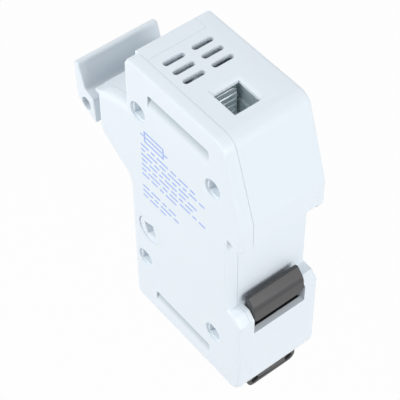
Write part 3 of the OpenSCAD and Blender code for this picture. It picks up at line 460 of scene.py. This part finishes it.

# Clip spring.
# A small coil of bright spring wire that pushes the clip up, with its end turns wound flat.
# It stands on a peg of the body inside the clip's window and is built at one fixed length.
coil_axis = (-0.00035, 0.00375)
coil_foot = -0.0509
coil_length = 0.0160
coil_turns = 9
coil_radius = 0.00105
wire_radius = 0.00025
turn_steps = 28
wire_sides = 10
flat_turns = 0.9
flat_rise = 1.1 * wire_radius
open_turns = coil_turns - 2 * flat_turns
open_rise = coil_length - 2 * wire_radius - 2 * flat_rise
coil_wire = bmesh.new()
rings = []
for i in range(coil_turns * turn_steps + 1):
    turn = i / turn_steps
    wound_open = min(max((turn - flat_turns) / open_turns, 0.0), 1.0)
    first_flat = min(turn, flat_turns) / flat_turns
    last_flat = min(max(turn - coil_turns + flat_turns, 0.0), flat_turns) / flat_turns
    rise = flat_rise * (first_flat + last_flat) + open_rise * wound_open
    z = coil_foot + wire_radius + rise
    angle = math.tau * turn
    ring = []
    for j in range(wire_sides):
        round_wire = math.tau * j / wire_sides
        out = coil_radius + wire_radius * math.cos(round_wire)
        ring.append(coil_wire.verts.new((
            coil_axis[0] + out * math.cos(angle),
            coil_axis[1] + out * math.sin(angle),
            z + wire_radius * math.sin(round_wire),
        )))
    rings.append(ring)
for before, after in zip(rings, rings[1:]):
    for j in range(wire_sides):
        k = (j + 1) % wire_sides
        coil_wire.faces.new((before[j], after[j], after[k], before[k]))
coil_wire.faces.new(rings[0])
coil_wire.faces.new(rings[-1][::-1])
for face in coil_wire.faces:
    face.smooth = len(face.verts) == 4
bmesh.ops.recalc_face_normals(coil_wire, faces=coil_wire.faces[:])
coil_data = bpy.data.meshes.new("spring_coil")
coil_wire.to_mesh(coil_data)
coil_wire.free()
spring_coil = bpy.data.objects.new("spring_coil", coil_data)
bpy.context.scene.collection.objects.link(spring_coil)
coil_data.materials.append(spring_steel)
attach(spring_coil, "housing")
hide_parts("clip_spring")
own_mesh(spring_coil)

# Studio.
# A plain pale floor, broad soft lights and a white surround.
# The camera and reflections see plain white, and the floor keeps a trace of the shadow.
reach = 6.0
floor_z = -0.30
floor_mesh = bpy.data.meshes.new("floor")
floor_mesh.from_pydata(
    [(reach * x, reach * y, floor_z) for x, y in ((-1, -1), (1, -1), (1, 1), (-1, 1))],
    [],
    [(0, 1, 2, 3)],
)
floor = bpy.data.objects.new("floor", floor_mesh)
bpy.context.scene.collection.objects.link(floor)


def show_white(tree, lit, white, surface, kept_light):
    """Shows plain white to camera, mirror and glass rays, and the lit surface to all others."""
    path = tree.nodes.new("ShaderNodeLightPath")
    glossy = tree.nodes.new("ShaderNodeMath")
    glossy.operation = "MAXIMUM"
    seen = tree.nodes.new("ShaderNodeMath")
    seen.operation = "MAXIMUM"
    share = tree.nodes.new("ShaderNodeMath")
    share.operation = "MULTIPLY"
    share.inputs[1].default_value = 1.0 - kept_light
    mix = tree.nodes.new("ShaderNodeMixShader")
    join_sockets(
        tree,
        (path.outputs["Is Camera Ray"], glossy.inputs[0]),
        (path.outputs["Is Glossy Ray"], glossy.inputs[1]),
        (glossy.outputs["Value"], seen.inputs[0]),
        (path.outputs["Is Transmission Ray"], seen.inputs[1]),
        (seen.outputs["Value"], share.inputs[0]),
        (share.outputs["Value"], mix.inputs[0]),
        (lit, mix.inputs[1]),
        (white, mix.inputs[2]),
        (mix.outputs[0], surface),
    )


floor_paint = bpy.data.materials.new("floor_paint")
floor_paint.use_nodes = True
paint = floor_paint.node_tree
paint_shader = paint.nodes["Principled BSDF"]
set_sockets(paint_shader, {"Base Color": (0.7, 0.7, 0.7, 1), "Roughness": 0.8})
paint_white = paint.nodes.new("ShaderNodeEmission")
set_sockets(paint_white, {"Color": (1, 1, 1, 1)})
show_white(
    paint,
    paint_shader.outputs["BSDF"],
    paint_white.outputs["Emission"],
    paint.nodes["Material Output"].inputs["Surface"],
    kept_light=0.04,
)
floor_mesh.materials.append(floor_paint)

surround = bpy.data.worlds.new("surround")
bpy.context.scene.world = surround
surround.use_nodes = True
sky = surround.node_tree
ambient = sky.nodes["Background"]
set_sockets(ambient, {"Color": (0.94, 0.977, 1.0, 1), "Strength": 0.535})
sky_white = sky.nodes.new("ShaderNodeBackground")
set_sockets(sky_white, {"Color": (1, 1, 1, 1)})
show_white(
    sky,
    ambient.outputs["Background"],
    sky_white.outputs["Background"],
    sky.nodes["World Output"].inputs["Surface"],
    kept_light=0.0,
)


def softbox(name, place, power):
    """A square studio light that looks at the middle of the holder."""
    aim = (0, -0.02, 0)
    lamp = bpy.data.lights.new(name, "AREA")
    lamp.size = 0.6
    lamp.energy = power
    light = bpy.data.objects.new(name, lamp)
    light.location = place
    light.rotation_euler = (Vector(aim) - Vector(place)).to_track_quat("-Z", "Y").to_euler()
    bpy.context.scene.collection.objects.link(light)


softbox("front_light", place=(0.82, -0.47, 0.55), power=7.1)
softbox("rear_light", place=(-0.09, 1.01, 0.41), power=6.2)

camera = bpy.data.cameras.new("camera")
camera.sensor_width = 36.0
camera.lens = 132.19
camera.clip_start = 0.01
camera.clip_end = 20.0
viewer = bpy.data.objects.new("camera", camera)
viewer.matrix_world = Matrix((
    (-0.7819, -0.4799, 0.3980, 0.2088),
    (0.6234, -0.5943, 0.5082, 0.2297),
    (-0.0073, 0.6454, 0.7638, 0.3911),
    (0.0, 0.0, 0.0, 1.0),
))
bpy.context.scene.collection.objects.link(viewer)
bpy.context.scene.camera = viewer
bpy.context.scene.view_settings.view_transform = "Standard"
